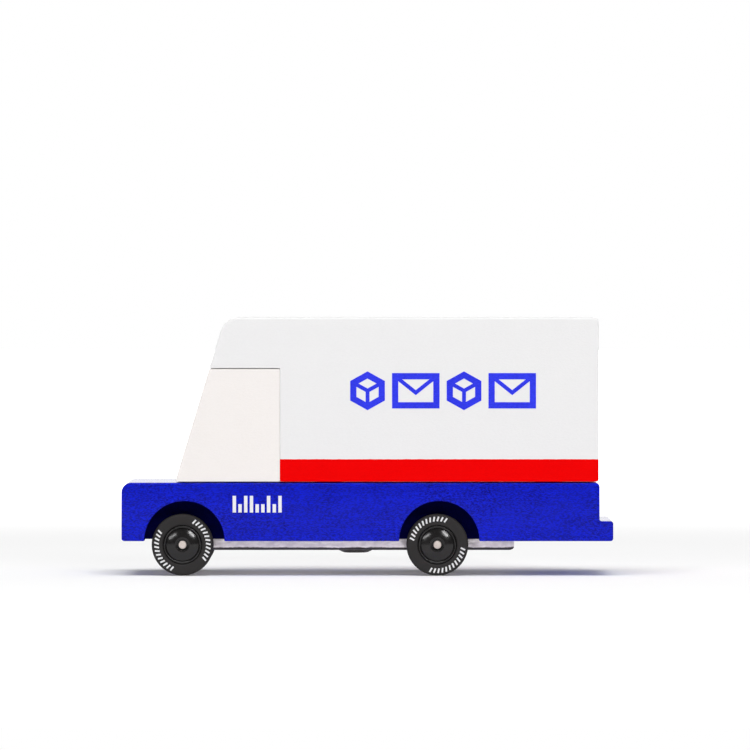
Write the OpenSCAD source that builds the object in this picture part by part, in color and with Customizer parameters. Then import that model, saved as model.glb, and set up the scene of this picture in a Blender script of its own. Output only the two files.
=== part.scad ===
// Pocket mail van: painted wooden blocks glued on dowels, a cast plate screwed underneath,
// and rubber-tyred wheels pressed on two steel axles that turn in the plate's grooves.
// Frame: the van drives towards -X, its left side is at -Y, and +Z is up.
// Origin: on the floor, under the middle of the overall length and width.

/* [Wooden body] */
// Overall length, front of the bonnet to the rear step
body_length = 90; // [88:1:94]
// Width of all three wooden blocks
body_width = 36; // [35:1:42]
// Height of the roof above the floor
roof_height = 47.2; // [45:0.2:52]
// Height of the wood's underside above the floor
underside_height = 6.35; // [6.25:0.05:6.5]
// Height of the seam between the lower body and the upper blocks
seam_height = 17.15; // [16:0.05:19]
// Radius of the bonnet's front top corner
bonnet_radius = 1.8; // [0.6:0.1:2.6]
// Radius of the small block corners
small_radius = 0.5; // [0.2:0.1:1]

/* [Rear step] */
// How far the step stands out behind the body
step_length = 2.5; // [1.5:0.1:4]
// Height of the step above the wood's underside
step_height = 3.65; // [2.5:0.05:5]

/* [Cab] */
// Length of the bonnet in front of the windscreen
bonnet_length = 9.8; // [8:0.2:12]
// Rake of the windscreen, measured from the vertical, in degrees
screen_rake = 16.8; // [8:0.1:20]
// Height of the top of the window block above the floor
window_top_height = 38; // [32:0.5:40]
// Length of the window block along the seam
window_length = 19.2; // [16:0.2:22]
// Gap above the window block
window_gap = 0.15; // [0.05:0.05:0.3]
// Radius where the raked front meets the roof
brow_radius = 3.2; // [1:0.1:4]

/* [Cargo box] */
// How far the box's rear face sits in front of the lower body's
box_inset = 0.2; // [0:0.1:1]

/* [Wheels] */
// Distance from the front of the bonnet to the front axle
front_overhang = 11.15; // [10.5:0.05:12]
// Distance between the axles
wheelbase = 46.65; // [44:0.05:48]
// Outer radius of the tyre
tyre_radius = 5.67; // [5.6:0.01:5.75]
// Width of the tyre
tyre_width = 5; // [4.6:0.1:5.2]
// Radius of the tyre's shoulders
shoulder_radius = 0.45; // [0.2:0.05:0.8]
// Radius of the rim's seat under the tyre
seat_radius = 3.65; // [3.55:0.05:3.8]
// Stretch of the tyre on its seat, on the radius
tyre_stretch = 0.03; // [0.01:0.01:0.05]
// How far the wheels' outer faces sit inside the body's sides
wheel_inset = 0.3; // [0.1:0.1:0.8]

/* [Hub] */
// Outer radius of the domed hub
dome_radius = 3; // [2.8:0.05:3.05]
// Outer radius of the hub's flat centre
boss_radius = 1.4; // [1.25:0.05:1.6]
// Radius of the recess around the axle's end
recess_radius = 1.05; // [0.9:0.05:1.15]
// Depth of the recess around the axle's end
recess_depth = 0.5; // [0.3:0.05:0.8]
// Depth of the groove around the dome, below the tyre's face
groove_depth = 0.6; // [0.45:0.05:0.9]
// Radius of the hub's inner end, beside the plate
hub_radius = 1.6; // [1.4:0.1:2]

/* [Axles] */
// Radius of the steel axles
axle_radius = 0.75; // [0.7:0.01:0.8]
// Running clearance around the axle in its groove, on the radius
axle_clearance = 0.05; // [0.03:0.01:0.08]
// Interference of the axle in the rim's bore, on the radius
axle_press = 0.01; // [0.005:0.005:0.02]

/* [Wheel arches] */
// Radius of the arch
arch_radius = 7.3; // [6.8:0.1:7.8]
// How far the arch's centre sits behind the axle
arch_offset = 0.35; // [0:0.05:0.5]
// Depth of the wheel pocket, in from the body's side
pocket_depth = 6.1; // [6:0.1:6.4]

/* [Base plate] */
// Length of the plate
plate_length = 65.8; // [64:0.2:67]
// Distance from the front of the bonnet to the plate's front end
plate_front = 6.2; // [5.8:0.1:6.8]
// Width of the plate
plate_width = 23.5; // [22:0.1:23.6]
// Height of the plate's underside above the floor
plate_clearance = 4.54; // [4.4:0.02:4.6]
// Radius of the plate's corners, seen from above
plate_corner = 2; // [1:0.2:3]
// Chamfer along the plate's lower edge
plate_chamfer = 0.35; // [0.2:0.05:0.5]
// Depth of the recess in the wood that locates the plate
plate_seat = 0.25; // [0.15:0.05:0.35]
// Radius of the cast saddles around the axles
saddle_radius = 1.65; // [1.5:0.05:1.7]
// Length of each saddle, across the van
saddle_length = 6; // [4:0.5:7]

/* [Screws] */
// Head radius of the large middle screw
main_head_radius = 3.5; // [3:0.1:4]
// Head height of the large middle screw
main_head_height = 0.74; // [0.5:0.02:0.9]
// Distance of the middle screw behind the front of the bonnet
main_screw_x = 42.8; // [40:0.2:46]
// Head radius of the small end screws
small_head_radius = 2.2; // [2:0.1:2.3]
// Head height of the small end screws
small_head_height = 0.6; // [0.4:0.05:0.8]
// Distance of the end screws behind their axles
small_screw_offset = 2.9; // [2.8:0.1:3.2]
// Shank radius of every screw
shank_radius = 1.1; // [0.9:0.05:1.2]
// Shank length of every screw, below the head
shank_length = 9; // [7:0.5:10]

/* [Dowels] */
// Radius of the dowels
dowel_radius = 2.5; // [2:0.1:3]
// Length of the dowels, shared between the two blocks
dowel_length = 12; // [9:0.5:14]
// Glue gap around and at the ends of a dowel
glue_gap = 0.05; // [0.02:0.01:0.1]

/* [Hidden] */
$fn = 64;

LEFT = -1;
RIGHT = 1;
overshoot = 1;

front_x = -body_length / 2;
rear_x = body_length / 2;
rear_face_x = rear_x - step_length;
box_rear_x = rear_face_x - box_inset;
screen_foot_x = front_x + bonnet_length;
window_rear_x = screen_foot_x + window_length;
front_axle_x = front_x + front_overhang;
rear_axle_x = front_axle_x + wheelbase;
axle_z = tyre_radius;

wheel_face_y = body_width / 2 - wheel_inset;
plate_top_z = underside_height + plate_seat;
plate_thickness = plate_top_z - plate_clearance;
plate_middle_x = front_x + plate_front + plate_length / 2;
plate_gap = 0.25;
saddle_y = plate_width / 2 - saddle_length / 2 - 1;
middle_screw_x = front_x + main_screw_x;
front_screw_x = front_axle_x + small_screw_offset;
rear_screw_x = rear_axle_x + small_screw_offset;
screw_hole_radius = shank_radius + 0.3;
pilot_radius = shank_radius + 0.02;

front_dowel_x = window_rear_x + 9;
rear_dowel_x = box_rear_x - 9;
cab_dowel_x = window_rear_x - 7.5;

// Depths in the wheel, measured inwards from the tyre's outer face
boss_drop = 0.05;
bead_drop = 0.1;
bead_radius = 0.2;
bead_ring_radius = 3.3;
axle_end_drop = 0.2;
rim_width = tyre_width - 0.3;
hub_length = tyre_width + 0.4;
hollow_radius = 3;
hollow_depth = 2.4;

// Centre of the sphere that the domed hub is cut from, through the boss's edge and the groove's
dome_rise = groove_depth - 0.15 - boss_drop;
dome_sphere = (pow(dome_radius, 2) - pow(boss_radius, 2) + pow(dome_rise, 2)) / (2 * dome_rise);
dome_sphere_radius = sqrt(pow(boss_radius, 2) + pow(dome_sphere, 2));

blue = [0.10, 0.15, 0.72];
white = [0.95, 0.94, 0.945];
cream = [0.975, 0.955, 0.94];
beech = [0.82, 0.66, 0.45];
cast_grey = [0.72, 0.70, 0.73];
dark_steel = [0.25, 0.24, 0.24];
bright_steel = [0.80, 0.77, 0.74];
rim_black = [0.10, 0.09, 0.09];
tyre_black = [0.17, 0.17, 0.17];

// X of the raked front at a height
function screen_x(z) = screen_foot_x + (z - seam_height) * tan(screen_rake);

// The web between a corner and the arc that touches both of its edges.
// Taken away, it rounds an outer corner; added, it fills an inner one.
// u and v are unit vectors from the corner along its two edges.
module corner_web(corner, u, v, radius) {
    half_angle = acos(u * v) / 2;
    bisector = (u + v) / norm(u + v);
    tangent = radius / tan(half_angle);
    centre = corner + bisector * radius / sin(half_angle);
    difference() {
        polygon([corner + u * tangent, centre, corner + v * tangent, corner - bisector * overshoot]);
        translate(centre) circle(r = radius);
    }
}

// Carries an outline drawn in X and Z across the van's width
module across(width) {
    rotate([90, 0, 0]) linear_extrude(width, center = true) children();
}

// A cylinder along Y, centred on a point
module cross_cylinder(radius, length) {
    rotate([90, 0, 0]) cylinder(r = radius, h = length, center = true);
}

// Turns a wheel part so that its own +Z points out of the van's side
module on_side(axle_x, side) {
    translate([axle_x, side * wheel_face_y, axle_z]) rotate([side * -90, 0, 0]) children();
}

// ---- Wooden blocks ----

module lower_outline() {
    step_top = underside_height + step_height;
    difference() {
        union() {
            polygon([
                [front_x, underside_height], [rear_x, underside_height],
                [rear_x, step_top], [rear_face_x, step_top],
                [rear_face_x, seam_height], [front_x, seam_height]
            ]);
            corner_web([rear_face_x, step_top], [1, 0], [0, 1], small_radius);
        }
        corner_web([front_x, seam_height], [1, 0], [0, -1], bonnet_radius);
        corner_web([front_x, underside_height], [1, 0], [0, 1], small_radius);
        corner_web([rear_face_x, seam_height], [-1, 0], [0, -1], small_radius);
        corner_web([rear_x, step_top], [-1, 0], [0, -1], small_radius);
        corner_web([rear_x, underside_height], [-1, 0], [0, 1], small_radius);
    }
}

module wheel_pocket(axle_x, side) {
    translate([axle_x + arch_offset, side * body_width / 2, underside_height])
        cross_cylinder(arch_radius, 2 * pocket_depth);
}

module plate_recess() {
    recess_width = body_width - 2 * pocket_depth + 0.2;
    translate([plate_middle_x, 0, plate_top_z - overshoot])
        translate([-plate_length / 2 - plate_gap, -recess_width / 2, 0])
            cube([plate_length + 2 * plate_gap, recess_width, overshoot]);
}

module pilot_hole(x) {
    translate([x, 0, plate_clearance]) cylinder(r = pilot_radius, h = shank_length + 0.5);
}

// The two halves of a dowel's hole, one each side of the seam
module dowel_hole(x) {
    translate([x, 0, seam_height])
        cylinder(r = dowel_radius + glue_gap, h = dowel_length + 2 * glue_gap, center = true);
}

module lower_body() {
    color(blue) difference() {
        across(body_width) lower_outline();
        for (axle_x = [front_axle_x, rear_axle_x], side = [LEFT, RIGHT]) wheel_pocket(axle_x, side);
        plate_recess();
        for (x = [front_screw_x, middle_screw_x, rear_screw_x]) pilot_hole(x);
        for (x = [front_dowel_x, rear_dowel_x, cab_dowel_x]) dowel_hole(x);
    }
}

module cargo_outline() {
    up_screen = [sin(screen_rake), cos(screen_rake)];
    difference() {
        polygon([
            [window_rear_x, seam_height], [box_rear_x, seam_height],
            [box_rear_x, roof_height], [screen_x(roof_height), roof_height],
            [screen_x(window_top_height), window_top_height], [window_rear_x, window_top_height]
        ]);
        corner_web([screen_x(roof_height), roof_height], [1, 0], -up_screen, brow_radius);
        corner_web([box_rear_x, roof_height], [-1, 0], [0, -1], small_radius);
    }
}

module cargo_box() {
    color(white) difference() {
        across(body_width) cargo_outline();
        for (x = [front_dowel_x, rear_dowel_x]) dowel_hole(x);
    }
}

module cab_window_block() {
    block_top = window_top_height - window_gap;
    color(cream) difference() {
        across(body_width) polygon([
            [screen_foot_x, seam_height], [window_rear_x, seam_height],
            [window_rear_x, block_top], [screen_x(block_top), block_top]
        ]);
        dowel_hole(cab_dowel_x);
    }
}

module dowel(x) {
    color(beech) translate([x, 0, seam_height])
        cylinder(r = dowel_radius, h = dowel_length, center = true);
}

module front_dowel() { dowel(front_dowel_x); }
module rear_dowel() { dowel(rear_dowel_x); }
module cab_dowel() { dowel(cab_dowel_x); }

// ---- Plate and screws ----

module plate_outline() {
    square([plate_length - 2 * plate_corner, plate_width], center = true);
    square([plate_length, plate_width - 2 * plate_corner], center = true);
    for (sx = [-1, 1], sy = [-1, 1])
        translate([sx * (plate_length / 2 - plate_corner), sy * (plate_width / 2 - plate_corner)])
            circle(r = plate_corner);
}

// Section of the plate's blank across one of its sides, chamfered along the lower edges
module chamfered_section(width) {
    half = width / 2;
    polygon([
        [-half, plate_chamfer], [-half + plate_chamfer, 0], [half - plate_chamfer, 0],
        [half, plate_chamfer], [half, plate_thickness], [-half, plate_thickness]
    ]);
}

module plate_blank() {
    translate([plate_middle_x, 0, plate_clearance]) intersection() {
        linear_extrude(plate_thickness) plate_outline();
        rotate([90, 0, 0]) linear_extrude(plate_width, center = true) chamfered_section(plate_length);
        rotate([90, 0, 90]) linear_extrude(plate_length, center = true) chamfered_section(plate_width);
    }
}

module axle_saddles(axle_x) {
    for (side = [LEFT, RIGHT])
        translate([axle_x, side * saddle_y, axle_z]) intersection() {
            cross_cylinder(saddle_radius, saddle_length);
            translate([-saddle_radius, -saddle_length, -2 * saddle_radius])
                cube([2 * saddle_radius, 2 * saddle_length, 2 * saddle_radius + plate_top_z - axle_z]);
        }
}

// Open-topped groove with a round bottom, in which an axle turns
module axle_groove(axle_x) {
    groove_radius = axle_radius + axle_clearance;
    translate([axle_x, 0, axle_z]) {
        cross_cylinder(groove_radius, plate_width + 2 * overshoot);
        translate([-groove_radius, -plate_width, 0])
            cube([2 * groove_radius, 2 * plate_width, plate_thickness]);
    }
}

module base_plate() {
    color(cast_grey) difference() {
        union() {
            plate_blank();
            for (axle_x = [front_axle_x, rear_axle_x]) axle_saddles(axle_x);
        }
        for (axle_x = [front_axle_x, rear_axle_x]) axle_groove(axle_x);
        for (x = [front_screw_x, middle_screw_x, rear_screw_x])
            translate([x, 0, plate_clearance - overshoot])
                cylinder(r = screw_hole_radius, h = plate_thickness + 2 * overshoot);
    }
}

// A screw with its head's seat at z = 0, the head below it and the shank above
module wood_screw(head_radius, head_height) {
    drive_width = 0.55;
    drive_depth = head_height * 0.6;
    tip_length = 1.6;
    difference() {
        translate([0, 0, -head_height])
            cylinder(r1 = head_radius * 0.62, r2 = head_radius, h = head_height);
        for (turn = [0, 90])
            rotate([0, 0, turn]) translate([-head_radius * 0.42, -drive_width / 2, -2 * head_height])
                cube([head_radius * 0.84, drive_width, head_height + drive_depth]);
    }
    cylinder(r = shank_radius, h = shank_length - tip_length);
    translate([0, 0, shank_length - tip_length])
        cylinder(r1 = shank_radius, r2 = shank_radius * 0.2, h = tip_length);
}

module plate_screw(x, head_radius, head_height) {
    color(dark_steel) translate([x, 0, plate_clearance]) wood_screw(head_radius, head_height);
}

module plate_front_screw() { plate_screw(front_screw_x, small_head_radius, small_head_height); }
module plate_middle_screw() { plate_screw(middle_screw_x, main_head_radius, main_head_height); }
module plate_rear_screw() { plate_screw(rear_screw_x, small_head_radius, small_head_height); }

// ---- Axles and wheels ----

module axle(axle_x) {
    length = 2 * (wheel_face_y - axle_end_drop);
    color(bright_steel) translate([axle_x, 0, axle_z]) cross_cylinder(axle_radius, length);
}

// Outline of the rim's outer face and barrel, in radius and height, with the outer face at 0
module rim_outline() {
    difference() {
        union() {
            translate([0, -rim_width]) square([seat_radius, rim_width - groove_depth]);
            translate([0, -hub_length]) square([hub_radius, hub_length - groove_depth]);
            intersection() {
                translate([0, -boss_drop - dome_sphere]) circle(r = dome_sphere_radius);
                translate([0, -2 * groove_depth]) square([dome_radius, 2 * groove_depth - boss_drop]);
            }
            translate([bead_ring_radius, -bead_drop - bead_radius]) circle(r = bead_radius);
            translate([bead_ring_radius - bead_radius, -2 * groove_depth])
                square([2 * bead_radius, 2 * groove_depth - bead_drop - bead_radius]);
        }
        translate([hub_radius, -rim_width - overshoot])
            square([hollow_radius - hub_radius, hollow_depth + overshoot]);
        translate([-overshoot, -boss_drop - recess_depth])
            square([overshoot + recess_radius, recess_depth + overshoot]);
        translate([-overshoot, -2 * tyre_width])
            square([overshoot + axle_radius - axle_press, 2 * tyre_width]);
    }
}

module rim(axle_x, side) {
    color(rim_black) on_side(axle_x, side) rotate_extrude() rim_outline();
}

module tyre_outline() {
    inner_radius = seat_radius - tyre_stretch;
    lip_radius = shoulder_radius / 2;
    difference() {
        translate([inner_radius, -tyre_width]) square([tyre_radius - inner_radius, tyre_width]);
        corner_web([tyre_radius, 0], [-1, 0], [0, -1], shoulder_radius);
        corner_web([tyre_radius, -tyre_width], [-1, 0], [0, 1], shoulder_radius);
        corner_web([inner_radius, 0], [1, 0], [0, -1], lip_radius);
        corner_web([inner_radius, -tyre_width], [1, 0], [0, 1], lip_radius);
    }
}

module tyre(axle_x, side) {
    color(tyre_black) on_side(axle_x, side) rotate_extrude() tyre_outline();
}

module front_axle() { axle(front_axle_x); }
module front_left_rim() { rim(front_axle_x, LEFT); }
module front_left_tyre() { tyre(front_axle_x, LEFT); }
module front_right_rim() { rim(front_axle_x, RIGHT); }
module front_right_tyre() { tyre(front_axle_x, RIGHT); }
module rear_axle() { axle(rear_axle_x); }
module rear_left_rim() { rim(rear_axle_x, LEFT); }
module rear_left_tyre() { tyre(rear_axle_x, LEFT); }
module rear_right_rim() { rim(rear_axle_x, RIGHT); }
module rear_right_tyre() { tyre(rear_axle_x, RIGHT); }

lower_body();
cargo_box();
cab_window_block();
front_dowel();
rear_dowel();
cab_dowel();
base_plate();
plate_front_screw();
plate_middle_screw();
plate_rear_screw();
front_axle();
front_left_rim();
front_left_tyre();
front_right_rim();
front_right_tyre();
rear_axle();
rear_left_rim();
rear_left_tyre();
rear_right_rim();
rear_right_tyre();
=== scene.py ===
"""Looks of a pocket wooden mail van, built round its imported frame.

The van is three painted wooden blocks on a cast plate, with rubber-tyred wheels on steel axles. It
drives towards -X, its left side is at -Y and +Z is up. Lengths are in metres: a number in
millimetres is multiplied by MM.
"""

import logging
import math
from collections.abc import Callable
from dataclasses import dataclass
from enum import Enum

import bmesh
import bpy
import numpy as np
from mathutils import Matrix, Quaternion, Vector


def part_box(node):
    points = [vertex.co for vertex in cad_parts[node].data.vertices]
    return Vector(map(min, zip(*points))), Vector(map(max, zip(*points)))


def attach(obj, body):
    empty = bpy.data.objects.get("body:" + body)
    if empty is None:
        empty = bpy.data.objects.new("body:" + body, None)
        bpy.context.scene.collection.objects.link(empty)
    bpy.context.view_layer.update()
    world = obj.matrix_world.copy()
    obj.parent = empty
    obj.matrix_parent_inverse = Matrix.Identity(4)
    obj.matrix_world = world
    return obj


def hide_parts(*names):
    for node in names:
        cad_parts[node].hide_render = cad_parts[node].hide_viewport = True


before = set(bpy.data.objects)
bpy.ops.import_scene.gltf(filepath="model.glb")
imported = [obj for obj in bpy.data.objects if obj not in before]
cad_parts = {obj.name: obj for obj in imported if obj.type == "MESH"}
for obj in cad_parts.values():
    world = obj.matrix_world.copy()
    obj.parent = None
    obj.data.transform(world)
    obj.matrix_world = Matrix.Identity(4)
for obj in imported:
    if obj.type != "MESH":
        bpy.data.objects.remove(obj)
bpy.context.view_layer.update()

log = logging.getLogger("mail_van")

Array = np.ndarray
Point = tuple[float, float, float]
Colour = tuple[float, float, float]

MM = 0.001
VAN_BODY = "body"
ENDS = ("front", "rear")
SIDES = {"left": -1, "right": 1}
AHEAD = (1, 0, 0)
WELD = 1e-7

GLUE_SEAM = 0.2 * MM
SADDLE_DEPTH = 0.52 * MM
STEP_LENGTH = 2.5 * MM
BAND_HEIGHT = 4.2 * MM
ARCH_RADIUS = 7.3 * MM
ARCH_OFFSET = 0.35 * MM
INK_ROOT = 0.03 * MM
INK_PROUD = 0.02 * MM


# ---- Surfaces ----


@dataclass(frozen=True)
class Corner:
    """A corner of an outline, with the straight stretch that leaves it.

    Args:
        x: first coordinate.
        z: second coordinate.
        radius: rounding of the corner in the outline's plane.
        edge: rounding of the block's edge along the stretch.
        steps: points on the rounding.
    """

    x: float
    z: float
    radius: float = 0.0
    edge: float = 0.0
    steps: int = 7


@dataclass(frozen=True)
class Arch:
    """A half-round opening in a stretch that runs along +x.

    Args:
        x: middle of the opening.
        z: height of the stretch and of the arch's centre.
        radius: radius of the arch.
        foot: rounding of the arch's feet.
        edge: rounding of the block's edge along the arch.
        steps: points on the arch.
    """

    x: float
    z: float
    radius: float
    foot: float
    edge: float
    steps: int = 73


@dataclass(frozen=True)
class Outline:
    """A closed outline, counter-clockwise.

    Args:
        points: (n, 2) places.
        normals: (n, 2) unit normals, out of the solid.
        edges: (n,) radius of the block's edge.
        arched: (n,) True on an arch.
    """

    points: Array
    normals: Array
    edges: Array
    arched: Array


def arc(centre: Array, radius: float, start: float, end: float, steps: int) -> tuple[Array, Array]:
    """Points and normals round a centre: centre + radius * (cos a, sin a), a from start to end.

    Args:
        centre: centre of the arc.
        radius: its radius, negative where the solid is outside.
        start: angle of the first normal, in radians.
        end: angle of the last normal.
        steps: how many points.

    Returns:
        (steps, 2) points and (steps, 2) normals.
    """
    angles = np.linspace(start, end, steps)
    normals = np.stack([np.cos(angles), np.sin(angles)], axis=1)
    return centre + radius * normals, normals


def corner_arc(before: Corner, here: Corner, after: Corner) -> tuple[Array, Array]:
    """Points and normals that round one corner, tangent to both of its stretches.

    The tangent length is radius * tan(turn / 2). The centre is one radius from the stretch, inside
    the solid at an outer corner and outside it at an inner one.

    Args:
        before: the last corner.
        here: the corner to round.
        after: the next corner.

    Returns:
        Points and normals, as arc gives them.
    """
    place = np.array([here.x, here.z])
    inward = place - [before.x, before.z]
    onward = np.array([after.x, after.z]) - place
    inward, onward = inward / np.linalg.norm(inward), onward / np.linalg.norm(onward)
    turn = math.atan2(inward[0] * onward[1] - inward[1] * onward[0], float(inward @ onward))
    radius = math.copysign(here.radius, turn)
    normal = np.array([inward[1], -inward[0]])
    touch = place - inward * here.radius * math.tan(abs(turn) / 2)
    start = math.atan2(normal[1], normal[0])
    return arc(touch - normal * radius, radius, start, start + turn, here.steps)


def arch_arcs(arch: Arch) -> tuple[Array, Array]:
    """Points and normals of an arch and its two rounded feet.

    A foot touches the stretch and, from outside, the arch, so its centre is
    sqrt(radius**2 + 2 * radius * foot) from the middle.

    Args:
        arch: the arch.

    Returns:
        Points and normals, as arc gives them.
    """
    reach = math.sqrt(arch.radius**2 + 2 * arch.radius * arch.foot)
    lean = math.atan2(arch.foot, reach)
    middle = np.array([arch.x, arch.z])
    down, foot_steps = -math.pi / 2, 6
    parts = (
        arc(middle + [-reach, arch.foot], arch.foot, down, -lean, foot_steps),
        arc(middle, -arch.radius, -lean, lean - math.pi, arch.steps),
        arc(middle + [reach, arch.foot], arch.foot, lean - math.pi, down, foot_steps),
    )
    return np.vstack([points for points, _ in parts]), np.vstack([normals for _, normals in parts])


def outline(items: list[Corner | Arch], fade: float = 1.2 * MM, share: float = 0.85) -> Outline:
    """The closed outline through corners, with arches in its straight stretches.

    A corner takes the smaller edge radius of its two stretches, and no more than a share of its
    own rounding. A long stretch reaches its own edge radius at a short distance from its ends.

    Args:
        items: corners counter-clockwise, each arch after the corner that its stretch leaves.
        fade: that distance.
        share: that share.

    Returns:
        The outline.
    """
    corners = [item for item in items if isinstance(item, Corner)]
    arcs, edges = [], []
    at = -1
    for item in items:
        if isinstance(item, Arch):
            arcs.append(arch_arcs(item))
            edges.append(item.edge)
        else:
            at += 1
            arcs.append(corner_arc(corners[at - 1], item, corners[(at + 1) % len(corners)]))
            edges.append(min(corners[at - 1].edge, item.edge, share * item.radius))
    parts = []
    stretch = corners[0]
    for i, item in enumerate(items):
        arched = isinstance(item, Arch)
        stretch = stretch if arched else item
        some, their = arcs[i]
        size = len(some)
        parts.append((some, their, np.full(size, edges[i]), np.full(size, arched)))
        gap = arcs[(i + 1) % len(items)][0][0] - some[-1]
        length = np.linalg.norm(gap)
        if length > 3 * fade and stretch.edge > 0:
            ends = some[-1] + gap * np.array([[fade / length], [1 - fade / length]])
            rest = np.repeat(their[-1:], 2, axis=0), np.full(2, stretch.edge), np.full(2, False)
            parts.append((ends, *rest))
    return Outline(*(np.concatenate(column) for column in zip(*parts)))


def rod(radius: float, half: float, edge: float) -> Array:
    """The profile of a rod with rounded ends.

    Args:
        radius: its radius.
        half: half its length.
        edge: radius that rounds its ends.

    Returns:
        (n, 2) radius and place along the rod.
    """
    round_end = Corner(radius, -half, edge), Corner(radius, half, edge)
    return outline([Corner(0, -half), *round_end, Corner(0, half)]).points


@dataclass(frozen=True)
class Face:
    """A face's own frame: u to the right, v up and h out of the face, as seen from outside.

    Args:
        origin: the point where u, v and h are 0.
        right: unit vector of u.
        up: unit vector of v.
    """

    origin: Point
    right: Point
    up: Point = (0, 0, 1)

    def place(self, u: Array, v: Array, h: Array) -> Array:
        """Points in the van's frame: origin + u right + v up + h (right x up).

        Args:
            u: distances to the right.
            v: distances up.
            h: distances out of the face.

        Returns:
            The points, with x, y and z along a last axis.
        """
        u, v, h = (a[..., None] for a in np.broadcast_arrays(u, v, h))
        right, up = np.array(self.right), np.array(self.up)
        return np.array(self.origin) + u * right + v * up + h * np.cross(right, up)


class Shell:
    """Gathers grids and caps of points, and welds them into one closed mesh."""

    def __init__(self) -> None:
        """Starts with nothing in it."""
        self.points: list[Array] = []
        self.faces: list[list[int]] = []
        self.count = 0

    def grid(self, points: Array, wrap_rows: bool = False, wrap_cols: bool = False) -> None:
        """Adds a sheet of quads.

        Args:
            points: (rows, cols, 3) places.
            wrap_rows: the last row joins the first.
            wrap_cols: the last column joins the first.
        """
        rows, cols = points.shape[:2]
        row = np.arange(rows if wrap_rows else rows - 1)[:, None]
        col = np.arange(cols if wrap_cols else cols - 1)[None, :]
        row_on, col_on = (row + 1) % rows, (col + 1) % cols
        quad = np.broadcast_arrays(
            row * cols + col, row * cols + col_on, row_on * cols + col_on, row_on * cols + col
        )
        self.faces += (np.stack(quad, axis=-1).reshape(-1, 4) + self.count).tolist()
        self.points.append(points.reshape(-1, 3))
        self.count += rows * cols

    def cap(self, ring: Array) -> None:
        """Adds one flat face over a (n, 3) ring of points."""
        self.faces.append(list(range(self.count, self.count + len(ring))))
        self.points.append(ring)
        self.count += len(ring)

    def build(self, name: str, crease: float = 33.0) -> bpy.types.Object:
        """Welds the sheets into a mesh with outward faces.

        Args:
            name: the piece's name.
            crease: angle in degrees over which an edge stays sharp.

        Returns:
            The piece, in the scene.
        """
        mesh = bpy.data.meshes.new(name)
        mesh.from_pydata(np.concatenate(self.points), [], self.faces)
        work = bmesh.new()
        work.from_mesh(mesh)
        bmesh.ops.remove_doubles(work, verts=work.verts, dist=WELD)
        bmesh.ops.dissolve_degenerate(work, dist=WELD, edges=work.edges)
        bmesh.ops.recalc_face_normals(work, faces=work.faces)
        work.to_mesh(mesh)
        work.free()
        mesh.shade_smooth()
        mesh.set_sharp_from_angle(angle=math.radians(crease))
        return add_to_scene(name, mesh)


def revolve(shell: Shell, face: Face, profile: Array, segments: int, closed: bool) -> Shell:
    """Turns a profile about its face's h axis: (r cos a, r sin a, h), a round the circle.

    Args:
        shell: what the surface is added to.
        face: its origin is on the axis, and h runs along it.
        profile: (n, 2) radius and height of each point.
        segments: steps round the circle.
        closed: the profile's last point joins its first.

    Returns:
        The shell.
    """
    angle = np.linspace(0, 2 * math.pi, segments, endpoint=False)[:, None]
    radius, height = profile[None, :, 0], profile[None, :, 1]
    turned = face.place(radius * np.cos(angle), radius * np.sin(angle), height)
    shell.grid(turned, wrap_rows=True, wrap_cols=closed)
    return shell


# ---- Shaders ----


def arithmetic(operation: str, swapped: bool = False) -> Callable[["Wire", "Wire | float"], "Wire"]:
    """An operator of Wire that adds a Math node.

    Args:
        operation: what the node does.
        swapped: the other value comes first.

    Returns:
        The operator.
    """

    def apply(wire: "Wire", other: "Wire | float") -> "Wire":
        """The node's output."""
        first, second = (other, wire) if swapped else (wire, other)
        return wire.shader.node("ShaderNodeMath", {"operation": operation}, {0: first, 1: second})

    return apply


@dataclass(frozen=True)
class Wire:
    """An output of a shader node, with arithmetic.

    Args:
        shader: the shader that it belongs to.
        socket: its socket.
    """

    shader: "Shader"
    socket: bpy.types.NodeSocket

    __add__, __radd__ = arithmetic("ADD"), arithmetic("ADD", True)
    __sub__, __rsub__ = arithmetic("SUBTRACT"), arithmetic("SUBTRACT", True)
    __mul__, __rmul__ = arithmetic("MULTIPLY"), arithmetic("MULTIPLY", True)


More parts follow.
